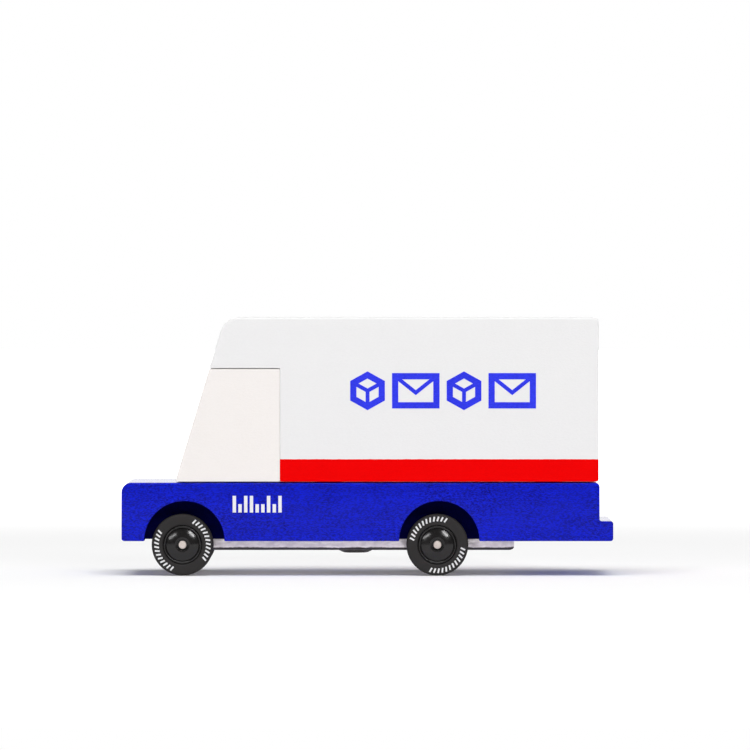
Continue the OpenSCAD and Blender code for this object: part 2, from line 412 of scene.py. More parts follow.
class Shader:
    """A node tree that is being written: a material's or the world's."""

    def __init__(self, owner: bpy.types.Material | bpy.types.World) -> None:
        """Turns the owner's nodes on and clears them."""
        owner.use_nodes = True
        self.tree = owner.node_tree
        self.tree.nodes.clear()

    def node(self, kind: str, settings: dict, sockets: dict, output: int | str = 0) -> Wire:
        """Adds any node.

        Args:
            kind: its type.
            settings: its properties, set first.
            sockets: input name or number to a value or a Wire.
            output: the output that is wanted.

        Returns:
            That output, or None if it has none.
        """
        made = self.tree.nodes.new(kind)
        for key, value in settings.items():
            setattr(made, key, value)
        for key, value in sockets.items():
            if isinstance(value, Wire):
                self.tree.links.new(value.socket, made.inputs[key])
            else:
                made.inputs[key].default_value = value
        return Wire(self, made.outputs[output]) if made.outputs else None

    def own(self, scale: Point = (1, 1, 1), centre: Point = (0, 0, 0)) -> Wire:
        """The piece's own coordinates: scale * (place - centre) / MM.

        Args:
            scale: what each coordinate is multiplied by.
            centre: the point that becomes the origin, in metres.

        Returns:
            The coordinates.
        """
        place = self.node("ShaderNodeTexCoord", {}, {}, "Object")
        shift = tuple(-c / MM * s for c, s in zip(centre, scale))
        size = tuple(s / MM for s in scale)
        sockets = {"Vector": place, "Location": shift, "Scale": size}
        return self.node("ShaderNodeMapping", {"vector_type": "POINT"}, sockets)

    def noise(self, where: Wire, scale: float, detail: float = 3.0, rough: float = 0.55) -> Wire:
        """Noise from 0 to 1.

        Args:
            where: the coordinates it follows.
            scale: about how many lumps there are to the unit.
            detail: how many finer layers it has.
            rough: how strong they are.

        Returns:
            The noise.
        """
        sockets = {"Vector": where, "Scale": scale, "Detail": detail, "Roughness": rough}
        return self.node("ShaderNodeTexNoise", {}, sockets)

    def step(self, value: Wire, low: float, high: float) -> Wire:
        """A smooth step from 0 to 1 as the value goes from low to high."""
        sockets = {"Value": value, "From Min": low, "From Max": high}
        return self.node("ShaderNodeMapRange", {"interpolation_type": "SMOOTHSTEP"}, sockets)

    def blend(self, factor: Wire, first: Wire | Colour, second: Wire | Colour) -> Wire:
        """The first colour turned into the second by a factor."""
        first, second = (c if isinstance(c, Wire) else (*c, 1.0) for c in (first, second))
        sockets = {0: factor, 6: first, 7: second}
        return self.node("ShaderNodeMix", {"data_type": "RGBA"}, sockets, 2)

    def axis(self, where: Wire, letter: str) -> Wire:
        """One coordinate of a vector."""
        return self.node("ShaderNodeSeparateXYZ", {}, {0: where}, letter)

    def length(self, where: Wire) -> Wire:
        """The length of a vector."""
        return self.node("ShaderNodeVectorMath", {"operation": "LENGTH"}, {0: where}, "Value")

    def bump(self, height: Wire, depth: float) -> Wire:
        """A normal for a relief from 0 to 1 that is depth deep."""
        return self.node("ShaderNodeBump", {}, {"Distance": depth, "Height": height})

    def surface(self, sockets: dict) -> None:
        """Ends a material in a Principled shader with these inputs."""
        full = {k: (*v, 1.0) if isinstance(v, tuple) else v for k, v in sockets.items()}
        principled = self.node("ShaderNodeBsdfPrincipled", {}, full)
        self.node("ShaderNodeOutputMaterial", {}, {"Surface": principled})


@dataclass(frozen=True)
class Finish:
    """A finish that a piece can have. Its material is made once and shared.

    Args:
        name: the material's name.
        slot: the record's material slot; not used.
        colour: the main colour.
        shade: the colour in the pores, or in the grain's low places.
    """

    name: str
    slot: str
    colour: Colour
    shade: Colour

    def paint(self, shader: Shader) -> None:
        """Writes the finish's nodes."""
        raise NotImplementedError

    def material(self) -> bpy.types.Material:
        """The finish's material."""
        made = bpy.data.materials.get(self.name)
        if made is None:
            made = bpy.data.materials.new(self.name)
            self.paint(Shader(made))
        return made


@dataclass(frozen=True)
class Band:
    """A painted band along the foot of a block.

    Args:
        top: height of the band's upper edge.
        colour: its paint.
        waver: how far the masked edge wanders.
    """

    top: float
    colour: Colour
    waver: float = 0.07 * MM


# How fine the wood's flecks, lines and their sway, a band's edge and the edge of the painted shade
# along a casting's foot are
WOOD_FLECK = (2.0, 4.4, 4.8)
WOOD_LINE = (0.05, 0.9, 1.2)
WOOD_SWAY = (0.03, 0.12, 0.12)
BAND_EDGE = (0.9, 0.9, 0.0)
EDGE_SHADE_WAVER = (0.6, 0.6, 0.3)
SWAY_REACH = (0.0, 3.0, 3.0)
# Where a noise turns from nothing to all of a pore, a line, a low place or a tone
PORE_RAMP = (0.58, 0.40)
LINE_RAMP = (0.65, 0.38)
LOW_RAMP = (0.65, 0.35)
WIDE_RAMP = (0.3, 0.7)
# What share the lines have in the pores' depth, and the wide noise in a tone
LINE_SHARE = 0.2
WIDE_SHARE = 0.4
# Millimetres over which a masked edge fades, around the rim of a pocket's painted shade, and at the
# edges of the painted shade along a casting's foot
MASK_BLUR = 0.03
POCKET_SHADE_FADE = (0.12, 0.03)
EDGE_SHADE_TOP_FADE = (0.12, -0.10)
EDGE_SHADE_FOOT_FADE = 0.06
# How dark the paint is in the band's pores, in a pocket's painted shade, and in the painted shade
# along a casting's foot
BAND_SHADE = 0.8
POCKET_PAINTED_SHADE = 0.5
EDGE_SHADE_DARKNESS = 0.16
# How much rougher paint is in its pores, and the clear coat's roughness and index
PORE_ROUGHNESS = 0.15
COAT_ROUGHNESS = 0.07
COAT_INDEX = 1.2


@dataclass(frozen=True)
class PaintedWood(Finish):
    """Paint under a satin clear coat, with the wood's pores and grain showing through.

    Args:
        pores: how strongly the pores show, from 0 to 1.
        relief: depth of the pores and the grain.
        roughness: how rough the paint is between its pores.
        shine: strength of the paint's own shine.
        varnish: strength of the clear coat over it.
        band: a band along the block's foot, if it has one.
        shaded_pockets: middle and radius of the round wheel pockets, where the paint is darkened as
            painted shade and its clear coat fades out.
    """

    pores: float = 0.3
    relief: float = 0.008 * MM
    roughness: float = 0.5
    shine: float = 0.02
    varnish: float = 0.2
    band: Band | None = None
    shaded_pockets: tuple[tuple[Point, float], ...] = ()

    def paint(self, shader: Shader) -> None:
        """Pores are short flecks along X; grain is long lines that bend slowly."""
        fleck = shader.noise(shader.own(WOOD_FLECK), 1.0, 3.0, 0.7)
        sway = shader.noise(shader.own(WOOD_SWAY), 1.0, 1.0)
        sockets = {0: sway, 1: SWAY_REACH, 2: shader.own(WOOD_LINE)}
        bent = shader.node("ShaderNodeVectorMath", {"operation": "MULTIPLY_ADD"}, sockets)
        line = shader.step(shader.noise(bent, 2.2, 2.0, 0.5), *LINE_RAMP)
        depth = shader.step(fleck, *PORE_RAMP) * (1 - LINE_SHARE) + line * LINE_SHARE
        patch = shader.noise(shader.own(), 0.16, 1.0)
        tint = depth * (patch * 0.9 + 0.35) * self.pores
        colour = shader.blend(tint, self.colour, self.shade)
        if self.band:
            wander = shader.noise(shader.own(BAND_EDGE), 1.0, 2.0) - 0.5
            height = shader.axis(shader.own(), "Z") + wander * (2 * self.band.waver / MM)
            edge = self.band.top / MM
            above = shader.step(height, edge - MASK_BLUR, edge + MASK_BLUR)
            deep = tuple(c * BAND_SHADE for c in self.band.colour)
            colour = shader.blend(above, shader.blend(tint, self.band.colour, deep), colour)
        varnish: Wire | float = self.varnish
        # Painted shade: in each wheel pocket the colour turns towards a darker copy of the shade
        # colour, and the clear coat fades out.
        for middle, radius in self.shaded_pockets:
            away = shader.length(shader.own((1, 0, 1), middle))
            inside = shader.step(away, *(radius / MM + fade for fade in POCKET_SHADE_FADE))
            colour = shader.blend(inside, colour, tuple(c * POCKET_PAINTED_SHADE for c in self.shade))
            varnish = (1 - inside) * varnish
        shader.surface(
            {
                "Base Color": colour,
                "Roughness": self.roughness + depth * PORE_ROUGHNESS,
                "Specular IOR Level": self.shine,
                "Coat Weight": varnish,
                "Coat Roughness": COAT_ROUGHNESS,
                "Coat IOR": COAT_INDEX,
                "Normal": shader.bump(1 - depth, self.relief),
            }
        )


@dataclass(frozen=True)
class Grained(Finish):
    """A moulded, cast, turned or printed surface with a fine grain.

    Args:
        roughness: how rough the high places are.
        grain: lumps to the millimetre, along X, Y and Z.
        spread: how much rougher the low places are.
        metallic: 1 for bare metal.
        relief: depth of the grain.
        specular: strength of the shine.
        edge_shade: lowest and highest place of a band of painted shade, if there is one.
    """

    roughness: float
    grain: Point
    spread: float = 0.1
    metallic: float = 0.0
    relief: float = 0.003 * MM
    specular: float = 0.5
    edge_shade: tuple[float, float] | None = None

    def paint(self, shader: Shader) -> None:
        """One noise sets the colour, the roughness and the relief; a wide one varies the tone."""
        low = shader.step(shader.noise(shader.own(self.grain), 1.0), *LOW_RAMP)
        wide = shader.step(shader.noise(shader.own(), 0.25, 1.0), *WIDE_RAMP)
        tone = low * (1 - WIDE_SHARE) + wide * WIDE_SHARE
        colour = shader.blend(tone, self.colour, self.shade)
        # Painted shade: a wavy band along the foot is darkened, standing in for the shadowed floor
        # that the rounded lower edge reflects.
        if self.edge_shade:
            foot, top = (end / MM for end in self.edge_shade)
            height = shader.axis(shader.own(), "Z")
            wander = shader.noise(shader.own(EDGE_SHADE_WAVER), 1.0) - 0.5
            under = shader.step(height + wander * 0.5, *(top + fade for fade in EDGE_SHADE_TOP_FADE))
            edge_shade = under * shader.step(height, foot, foot + EDGE_SHADE_FOOT_FADE)
            colour = shader.blend(edge_shade, colour, tuple(c * EDGE_SHADE_DARKNESS for c in self.shade))
        shader.surface(
            {
                "Base Color": colour,
                "Roughness": self.roughness + tone * self.spread,
                "Metallic": self.metallic,
                "Specular IOR Level": self.specular,
                "Normal": shader.bump(1 - low, self.relief),
            }
        )


def dress(piece: bpy.types.Object, finish: Finish, body: str, *stands_for: str) -> None:
    """Gives a piece its finish, its body and the CAD nodes that it stands for.

    Args:
        piece: the piece.
        finish: its finish.
        body: the body that it rides on.
        stands_for: CAD nodes that it replaces.
    """
    piece.data.materials.clear()
    piece.data.materials.append(finish.material())
    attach(piece, body)
    if stands_for:
        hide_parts(*stands_for)
    log.info("%s: %d faces, %s, on %s", piece.name, len(piece.data.polygons), finish.name, body)


RED = (0.87, 0.0, 0.0005)

CREAM_PAINT = PaintedWood(
    "cream_paint", "cream_painted_wood", (0.88, 0.842, 0.818), (0.82, 0.78, 0.75), shine=0.03
)
BEECH = PaintedWood(
    "bare_beech_wood", "bare_beech", (0.62, 0.40, 0.22), (0.44, 0.25, 0.12),
    pores=0.8, relief=0.02 * MM, roughness=0.6, shine=0.2, varnish=0.0,
)
SCREW_STEEL = Grained(
    "dark_steel", "dark_screw_steel", (0.20, 0.19, 0.19), (0.10, 0.095, 0.095),
    0.32, (3.0, 3.0, 3.0), spread=0.2, metallic=1.0, relief=0.006 * MM,
)
AXLE_STEEL = Grained(
    "bright_steel", "bright_axle_steel", (0.80, 0.72, 0.67), (0.66, 0.59, 0.55),
    0.42, (5.0, 1.2, 5.0), spread=0.14, metallic=1.0, relief=0.004 * MM,
)
RIM_PLASTIC = Grained(
    "black_gloss_plastic", "black_rim_plastic", (0.006, 0.0052, 0.0054), (0.009, 0.008, 0.008),
    0.11, (1.2, 1.2, 1.2), spread=0.06, relief=0.002 * MM, specular=0.42,
)
TYRE_RUBBER = Grained(
    "black_rubber", "black_tyre_rubber", (0.0135, 0.0118, 0.0118), (0.019, 0.0170, 0.0170),
    0.62, (6.0, 6.0, 6.0), spread=0.12, relief=0.010 * MM, specular=0.34,
)
BLUE_INK = Grained(
    "blue_ink", "white_painted_wood", (0.034, 0.046, 0.86), (0.024, 0.034, 0.70),
    0.5, WOOD_FLECK, specular=0.1,
)
WHITE_INK = Grained(
    "white_ink", "blue_painted_wood", (0.86, 0.86, 0.88), (0.78, 0.78, 0.82), 0.45, (1.2, 3.0, 3.0)
)
TYRE_INK = Grained(
    "tyre_ink", "black_tyre_rubber", (0.80, 0.80, 0.81), (0.70, 0.70, 0.71), 0.5, (5.0, 5.0, 5.0)
)
LAMP_INK = Grained(
    "lamp_ink", "blue_painted_wood", (0.90, 0.88, 0.80), (0.84, 0.82, 0.72), 0.4, (3.0, 3.0, 3.0)
)
RED_INK = Grained("red_ink", "blue_painted_wood", RED, (0.80, 0.002, 0.002), 0.4, (3.0, 3.0, 3.0))


# ---- The wooden blocks ----


@dataclass
class Block:
    """A block of wood sawn to a side outline, with its long edges rounded over.

    Args:
        node: its CAD node.
        finish: its finish.
        edge_steps: points round an edge.
        support: width of the strip that keeps a side flat up to its edge.
        edge: rounding of the outer edges.
        seam_edge: rounding of the edges that meet other blocks.
        foot_gap: gap under its foot.
        top_gap: gap over its top.
    """

    node: str
    finish: Finish
    edge_steps: int = 7
    support: float = 0.04 * MM
    edge: float = 0.3 * MM
    seam_edge: float = 0.12 * MM
    foot_gap: float = GLUE_SEAM / 2
    top_gap: float = 0.0

    def __post_init__(self) -> None:
        """Reads the block's place from the frame."""
        low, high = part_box(self.node)
        self.front, self.rear, self.half = low.x, high.x, high.y
        self.bottom, self.top = low.z + self.foot_gap, high.z - self.top_gap

    def side_outline(self) -> Outline:
        """The block's outline in X and Z."""
        raise NotImplementedError

    def edge_rows(self, shape: Outline, sign: int) -> Array:
        """Rows of points over one side's rounded edge, from the flat side inwards.

        At an angle t the outline is moved in by edge * (1 - sin t), at half - edge * (1 - cos t)
        from the middle. A first row lies on the flat side.

        Args:
            shape: the side outline.
            sign: -1 for the left side, 1 for the right.

        Returns:
            (rows, n, 3) points.
        """
        turn = np.linspace(0, math.pi / 2, self.edge_steps)[:, None]
        inset = shape.edges * (1 - np.sin(turn))
        depth = shape.edges * (1 - np.cos(turn))
        inset = np.vstack([inset[:1] + self.support, inset])
        depth = np.vstack([depth[:1], depth])
        flat = shape.points - shape.normals * inset[..., None]
        return np.stack([flat[..., 0], sign * (self.half - depth), flat[..., 1]], axis=-1)

    def middle_rows(self, shape: Outline) -> list[Array]:
        """Further rows between the two sides, from left to right."""
        return []

    def build(self) -> None:
        """Lofts the block from its left side to its right."""
        shape = self.side_outline()
        left = self.edge_rows(shape, -1)
        right = self.edge_rows(shape, 1)[::-1]
        shell = Shell()
        shell.grid(np.concatenate([left, *self.middle_rows(shape), right]), wrap_cols=True)
        shell.cap(left[0])
        shell.cap(right[-1])
        dress(shell.build(f"{self.node}_painted"), self.finish, VAN_BODY, self.node)


@dataclass
class LowerBody(Block):
    """The blue block: bonnet, sills with wheel pockets, and the step at the rear.

    Args:
        foot_gap: none, as no block is below.
        top_gap: half the glue seam.
        edge: rounding of the long edges.
        top_edge: rounding of the upper edges.
        arch_edge: rounding of the arches' edges.
        arch_foot: rounding of the arches' feet.
        bonnet: rounding of the bonnet's front.
        corner: rounding of the sill's and the step's outer corners.
        inner_corner: rounding between the step and the rear face.
        rear_corner: rounding of the rear face's top.
        step_height: height of the step.
        recess: depth of the plate's seat.
        clearance: gap between the seat's walls and the plate.
    """

    foot_gap: float = 0.0
    top_gap: float = GLUE_SEAM / 2
    edge: float = 0.22 * MM
    top_edge: float = 0.45 * MM
    arch_edge: float = 0.16 * MM
    arch_foot: float = 0.22 * MM
    bonnet: float = 1.8 * MM
    corner: float = 0.5 * MM
    inner_corner: float = 0.4 * MM
    rear_corner: float = 0.8 * MM
    step_height: float = 3.65 * MM
    recess: float = 0.25 * MM
    clearance: float = 0.15 * MM

    def side_outline(self) -> Outline:
        """Front bottom corner, the two arches, the step, the rear face and the bonnet's top."""
        sill, step_top = self.bottom, self.bottom + self.step_height
        face = self.rear - STEP_LENGTH
        middles = [axle_centre(end).x + ARCH_OFFSET for end in ENDS]
        arches = [Arch(x, sill, ARCH_RADIUS, self.arch_foot, self.arch_edge) for x in middles]
        return outline(
            [
                Corner(self.front, sill, self.corner, self.edge),
                *arches,
                Corner(self.rear, sill, self.corner, self.edge),
                Corner(self.rear, step_top, self.corner, self.edge),
                Corner(face, step_top, self.inner_corner, self.edge),
                Corner(face, self.top, self.rear_corner, self.top_edge),
                Corner(self.front, self.top, self.bonnet, self.edge, 13),
            ]
        )

    def middle_rows(self, shape: Outline) -> list[Array]:
        """The pockets' inner walls: the arches are there, and then drop to the plate's seat."""
        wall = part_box("base_plate")[1].y + self.clearance
        x, arched = shape.points.T
        filled = np.where(shape.arched, self.bottom + self.recess, arched)
        rows = ((-wall, arched), (-wall, filled), (wall, filled), (wall, arched))
        return [np.stack([x, np.full(len(x), y), z], axis=1)[None] for y, z in rows]


@dataclass
class CargoBox(Block):
    """The white block: cab roof and cargo box, with the band along its foot.

    Args:
        brow: rounding where the raked front meets the roof.
        seam_corner: rounding of the corners that meet other blocks.
        foot_corner: rounding of the rear corner at the foot.
        roof_corner: rounding of the rear corner at the roof.
        notch: rounding of the notch's inner corner.
    """

    brow: float = 3.2 * MM
    seam_corner: float = 0.25 * MM
    foot_corner: float = 0.45 * MM
    roof_corner: float = 0.7 * MM
    notch: float = 0.1 * MM

    def side_outline(self) -> Outline:
        """Foot, rear, roof, raked front and the notch over the window block."""
        window = WindowBlock()
        notch_top = window.top + window.gap
        return outline(
            [
                Corner(window.rear, self.bottom, self.seam_corner, self.seam_edge),
                Corner(self.rear, self.bottom, self.foot_corner, self.edge),
                Corner(self.rear, self.top, self.roof_corner, self.edge),
                Corner(window.screen_x(self.top), self.top, self.brow, self.edge, 17),
                Corner(window.screen_x(notch_top), notch_top, self.seam_corner, self.seam_edge),
                Corner(window.rear, notch_top, self.notch, self.seam_edge),
            ]
        )


@dataclass
class WindowBlock(Block):
    """The cream block that stands for the windscreen and the cab's side windows.

    Args:
        node: its CAD node.
        finish: its finish.
        rake: slope of the screen from the vertical, in degrees.
        gap: gap above the block.
        clearance: gap between the block and the cargo box behind it.
        front_corner: rounding of the raked front's corners.
        rear_corner: rounding of the rear corners.
    """

    node: str = "cab_window_block"
    finish: Finish = CREAM_PAINT
    rake: float = 16.8
    gap: float = 0.15 * MM
    clearance: float = 0.02 * MM
    front_corner: float = 0.3 * MM
    rear_corner: float = 0.2 * MM

    def screen_x(self, height: float) -> float:
        """X of the raked front at a height: front + (height - foot) * tan(rake)."""
        return self.front + (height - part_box(self.node)[0].z) * math.tan(math.radians(self.rake))

    def side_outline(self) -> Outline:
        """Foot, rear, top and raked front."""
        rear = self.rear - self.clearance
        return outline(
            [
                Corner(self.front, self.bottom, self.front_corner, self.seam_edge),
                Corner(rear, self.bottom, self.rear_corner, self.seam_edge),
                Corner(rear, self.top, self.rear_corner, self.seam_edge),
                Corner(self.screen_x(self.top), self.top, self.front_corner, self.edge),
            ]
        )


# ---- Plate and screws ----

# Share, rate to the millimetre and phase of the sines that a cast side wanders by
CASTING_WAVES = ((0.25, 0.55, 0.0), (0.15, 1.3, 1.0), (0.1, 3.1, 0.0))


@dataclass
class BasePlate:
    """The cast plate that traps the axles, with a saddle round each.

    Args:
        corner: rounding of its corners, seen from above.
        lower_edge: rounding of its lower edge.
        wave: how far its sides wander.
        spacing: greatest distance between its outline's points.
        edge_shade: height of the band of painted shade along the lower edge.
        saddle_radius: radius of a saddle.
        saddle_length: its length, across the van.
        saddle_inset: from a saddle to the plate's side.
    """

    corner: float = 1.2 * MM
    lower_edge: float = 0.6 * MM
    wave: float = 0.09 * MM
    spacing: float = 0.6 * MM
    edge_shade: float = 0.5 * MM
    saddle_radius: float = 1.65 * MM
    saddle_length: float = 6 * MM
    saddle_inset: float = 1 * MM

    def build(self) -> None:
        """Carries the plate's side profile round its plan outline, and adds the saddles.

        The profile is a straight side with a rounded lower edge. The side and the lower edge's
        height wander by a sum of sines of the place along the outline.
        """
        low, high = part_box("base_plate")
        bottom = low.z + SADDLE_DEPTH
        ring = ((low.x, low.y), (high.x, low.y), (high.x, high.y), (low.x, high.y))
        plan = outline([Corner(x, y, self.corner, self.lower_edge, 13) for x, y in ring])
        points, normals = subdivide(plan, self.spacing)
        turn = np.linspace(0, math.pi / 2, 7)
        edge, rise = self.lower_edge, high.z - bottom
        inset = [0, 0, 0, *(edge * (1 - np.cos(turn))), edge * 1.5, edge * 1.8]
        height = [rise, rise * 0.75, rise * 0.5, *(edge * (1 - np.sin(turn))), 0, 0]
        inset, height = np.array(inset)[:, None], np.array(height)[:, None]
        run = np.cumsum(np.linalg.norm(np.diff(points, axis=0, prepend=points[-1:]), axis=1)) / MM
        wander = 0.5
        for share, rate, phase in CASTING_WAVES:
            wander = wander + share * np.sin(run * rate + phase)
        wander = self.wave * wander
        flat = points - normals * (inset + wander * (inset < edge))[..., None]
        near_edge = smooth(height, rise * 0.5, 0) * (inset <= edge)
        z = bottom + height + wander * 1.6 * near_edge
        rows = np.stack([flat[..., 0], flat[..., 1], z], axis=-1)
        shell = Shell()
        shell.grid(rows, wrap_cols=True)
        shell.cap(rows[0])
        shell.cap(rows[-1])
        self.add_saddles(shell, high.y)
        # The plate's lower edge gets a band of painted shade.
        metal = Grained(
            "cast_zinc", "cast_plate_metal", (1.0, 0.935, 0.965), (0.82, 0.76, 0.79),
            0.30, (0.9, 1.6, 1.6), spread=0.2, metallic=1.0, relief=0.02 * MM,
            edge_shade=(bottom, bottom + self.edge_shade),
        )
        dress(shell.build("base_plate_cast"), metal, VAN_BODY, "base_plate")

    def add_saddles(self, shell: Shell, side: float) -> None:
        """Adds a domed half-round under each end of each axle.

        Args:
            shell: what they are added to.
            side: how far the plate's sides are from the middle.
        """
        half = self.saddle_length / 2
        profile = rod(self.saddle_radius, half, 0.3 * MM)
        angle = np.linspace(math.pi, 2 * math.pi, 33)[:, None]
        radius, along = profile[None, :, 0], profile[None, :, 1]
        for axle in map(axle_centre, ENDS):
            for sign in SIDES.values():
                middle = sign * (side - half - self.saddle_inset)
                face = Face((axle.x, middle, axle.z), AHEAD)
                shell.grid(face.place(radius * np.cos(angle), radius * np.sin(angle), along))
                shell.grid(face.place(radius * np.array([[-1], [1]]), 0 * radius, along))


def subdivide(shape: Outline, spacing: float) -> tuple[Array, Array]:
    """An outline with points added, so that no two are further apart than a spacing.

    Args:
        shape: the outline.
        spacing: that spacing.

    Returns:
        (n, 2) points, and unit normals blended between the old ones.
    """
    closed = np.hstack([shape.points, shape.normals])
    closed = np.vstack([closed, closed[:1]])
    run = np.linalg.norm(np.diff(closed[:, :2], axis=0), axis=1)
    run = np.concatenate([[0], np.cumsum(run)])
    even = np.linspace(0, run[-1], int(run[-1] / spacing), endpoint=False)
    where = np.unique(np.concatenate([run[:-1], even]))
    where = where[np.concatenate([[True], np.diff(where) > WELD * 10])]
    x, y, u, v = (np.interp(where, run, column) for column in closed.T)
    normals = np.stack([u, v], axis=1)
    return np.stack([x, y], axis=1), normals / np.linalg.norm(normals, axis=1, keepdims=True)


@dataclass
class Screw:
    """A wood screw with a truss head and a cross recess, driven up from below.

    Args:
        node: its CAD node.
        segments: steps round the head.
        drive: width of the cross's slots, as a share of the head's radius.
        reach: how far the cross reaches, as such a share.
        flat: how far the crown's flat middle reaches, as such a share.
        sink: depth of the cross, as a share of the head's height.
        fall: how far the crown falls to its rim, as such a share.
        rim: height of the head's rim, as such a share.
        shank: radius of the shank.
        tip: length of the tip.
    """

    node: str
    segments: int = 96
    drive: float = 0.17
    reach: float = 0.46
    flat: float = 0.52
    sink: float = 0.55
    fall: float = 0.8
    rim: float = 0.1
    shank: float = 1.1 * MM
    tip: float = 1.6 * MM

    def build(self) -> None:
        """Turns the outline from the head's crown to the tip, and presses the cross into the crown.

        The crown falls to its rim in a smooth step. The cross's depth is a smooth step of the
        distance from the nearer slot's middle line, times one of the distance from the centre.
        """
        low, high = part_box(self.node)
        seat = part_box("base_plate")[0].z + SADDLE_DEPTH
        head, tall = (high.x - low.x) / 2, seat - low.z
        length = high.z - seat
        share = np.linspace(0, 1, 40)
        crown = tall * (1 - self.fall * smooth(share, self.flat, 1.06))
        radius = np.array([*(head * share), head, head * 0.97, self.shank, self.shank, 0])
        height = np.array([*crown, self.rim * tall, 0, 0, self.tip - length, -length])
        angle = np.linspace(0, 2 * math.pi, self.segments, endpoint=False)[:, None]
        u, v = radius * np.cos(angle), radius * np.sin(angle)
        slot = np.minimum(np.abs(u), np.abs(v)) / head
        across = 1 - smooth(slot, self.drive * 0.7, self.drive)
        along = 1 - smooth(np.hypot(u, v) / head, self.reach * 0.8, self.reach)
        on_crown = np.arange(len(radius)) < len(crown)
        sunk = self.sink * tall * across * along * on_crown
        centre = ((low.x + high.x) / 2, (low.y + high.y) / 2, seat)
        shell = Shell()
        shell.grid(Face(centre, AHEAD, (0, -1, 0)).place(u, v, height - sunk), wrap_rows=True)
        dress(shell.build(f"{self.node}_turned", crease=45), SCREW_STEEL, VAN_BODY, self.node)


def smooth(value: Array, low: float, high: float) -> Array:
    """A smooth step from 0 to 1 as the value goes from low to high: 3 t**2 - 2 t**3."""
    share = np.clip((value - low) / (high - low), 0, 1)
    return share * share * (3 - 2 * share)


# ---- Wheels ----


def axle_centre(end: str) -> Vector:
    """The middle of the front or the rear axle."""
    low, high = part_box(f"{end}_axle")
    return (low + high) / 2


